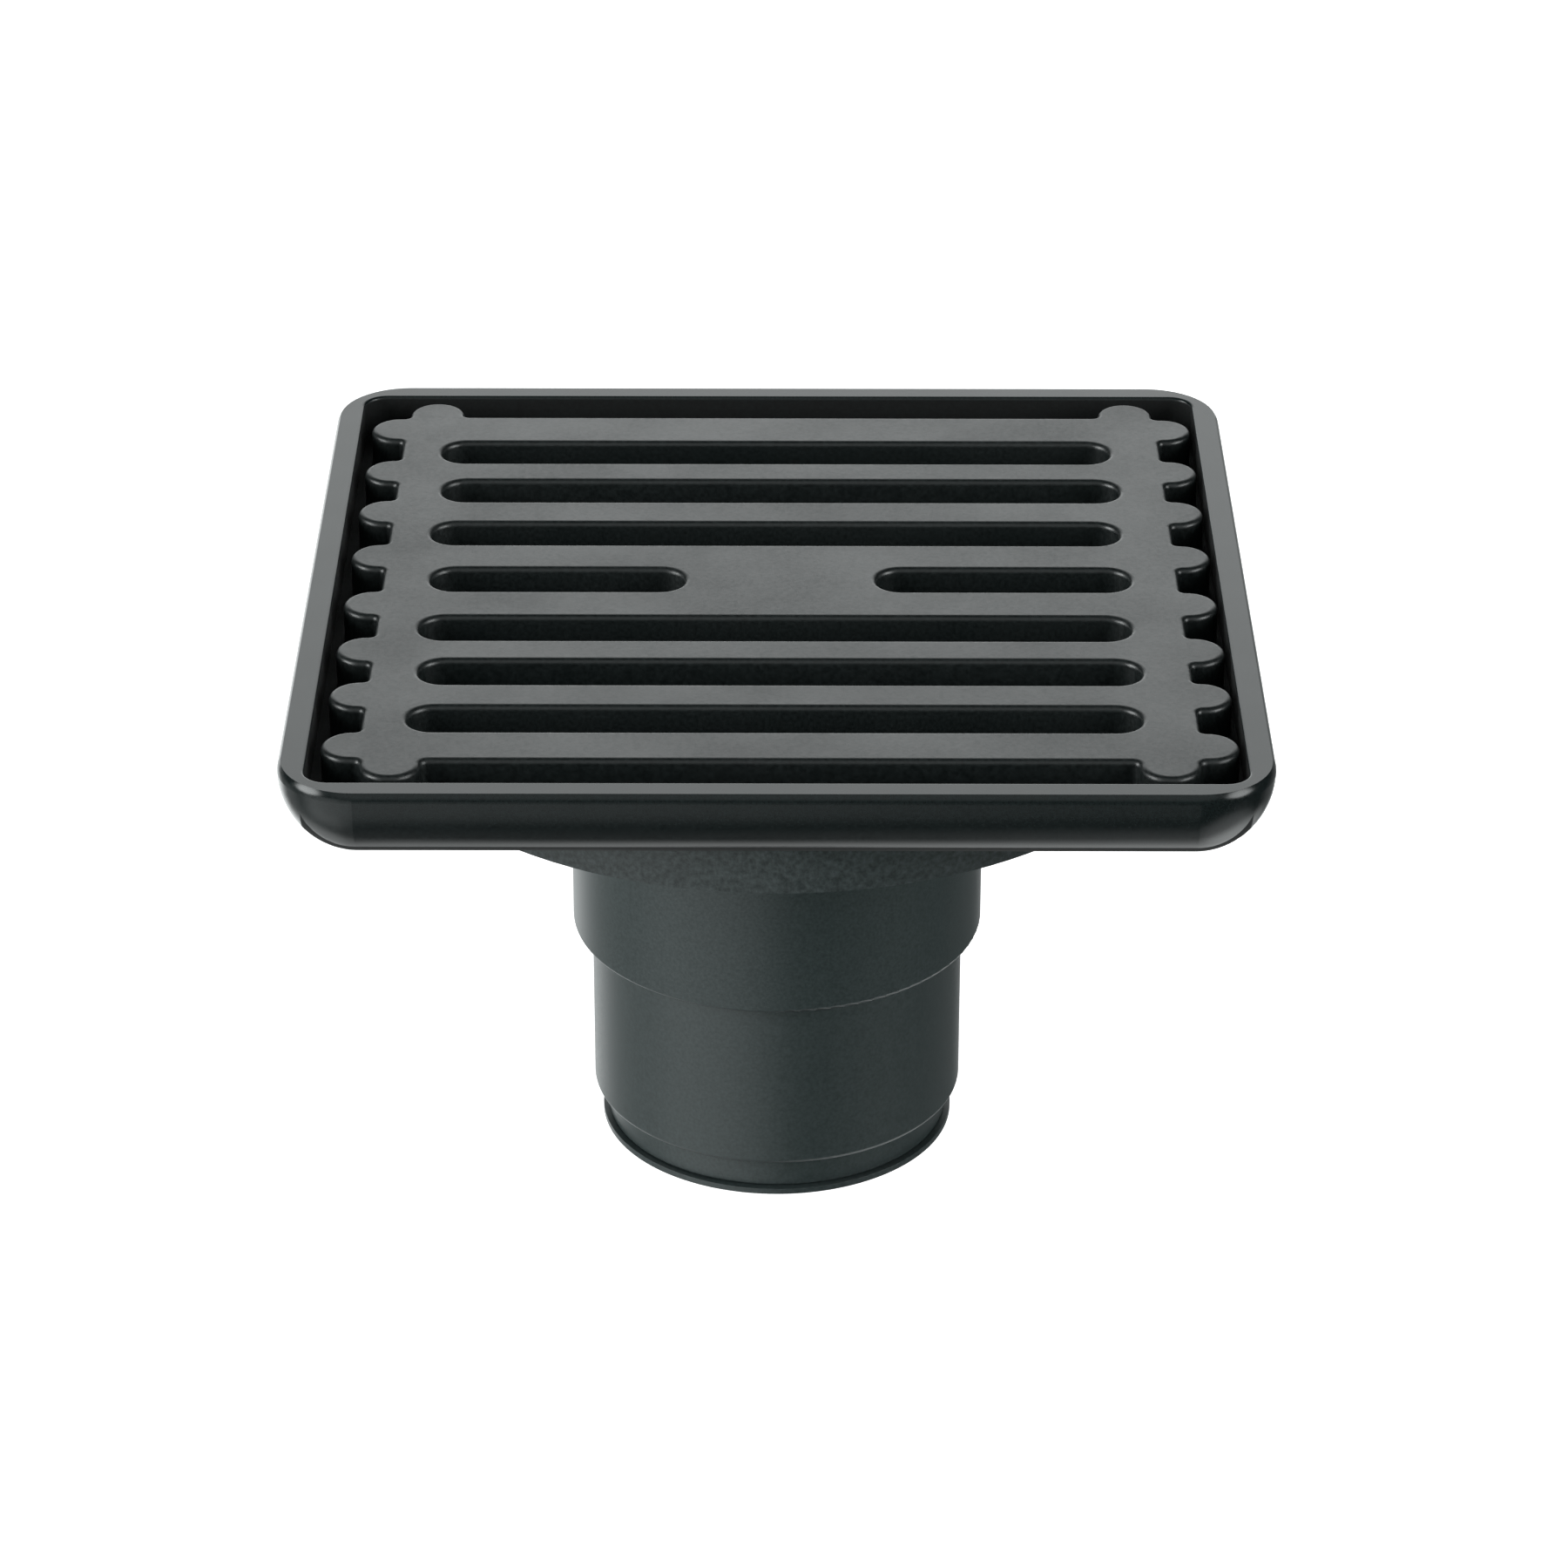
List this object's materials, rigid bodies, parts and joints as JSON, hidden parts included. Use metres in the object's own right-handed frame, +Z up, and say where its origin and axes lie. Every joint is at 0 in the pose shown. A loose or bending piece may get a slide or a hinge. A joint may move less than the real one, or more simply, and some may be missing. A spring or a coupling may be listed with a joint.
{
  "type": "square floor drain",
  "caption": "Square floor drain with a slotted lift-out grate, a round basin and neck, and a drop-in trap core with a spring-closed valve.",
  "frame": {"origin": "centre of the closing plate's underside, the lowest face, under the middle of the square frame", "axes": "+Z up out of the floor, along the neck's axis; X along the grate's bars; Y across them"},
  "size_m": [0.1, 0.1, 0.0655],
  "materials": {
    "coated_brass": "satin black coating over a sand-cast surface",
    "coated_brass_grate": "satin black coating, slightly worn on top",
    "strainer_plastic": "moulded ABS",
    "core_plastic": "satin moulded ABS",
    "seal_rubber": "soft nitrile rubber",
    "oring_rubber": "soft nitrile rubber",
    "guide_plastic": "moulded acetal",
    "seat_plastic": "satin moulded ABS",
    "spring_steel": "drawn stainless wire",
    "plate_plastic": "satin moulded ABS",
    "gasket_rubber": "soft silicone rubber",
    "washer_steel": "stamped stainless steel",
    "nut_steel": "plain stainless steel",
    "stem_steel": "plain stainless steel",
    "cap_plastic": "moulded acetal"
  },
  "bodies": {
    "drain": {"frame": "coated_brass", "grate": "coated_brass_grate", "hair_strainer": "strainer_plastic", "core_body": "core_plastic", "flange_seal": "seal_rubber", "core_oring": "oring_rubber", "guide_spider": "guide_plastic", "seat_ring": "seat_plastic", "return_spring": "spring_steel"},
    "valve": {"valve_plate": "plate_plastic", "valve_gasket": "gasket_rubber", "gasket_retainer": "washer_steel", "plate_nut": "nut_steel", "valve_stem": "stem_steel", "spring_cap": "cap_plastic", "stem_locknut": "nut_steel"}
  },
  "joints": [
    {"name": "valve_slide", "type": "slide", "parent": "drain", "child": "valve", "axis": [0, 0, -1], "range_m": [0, 0.008], "stiffness_N_per_m": 50, "springref_m": -0.006, "deforming": ["return_spring"]}
  ]
}
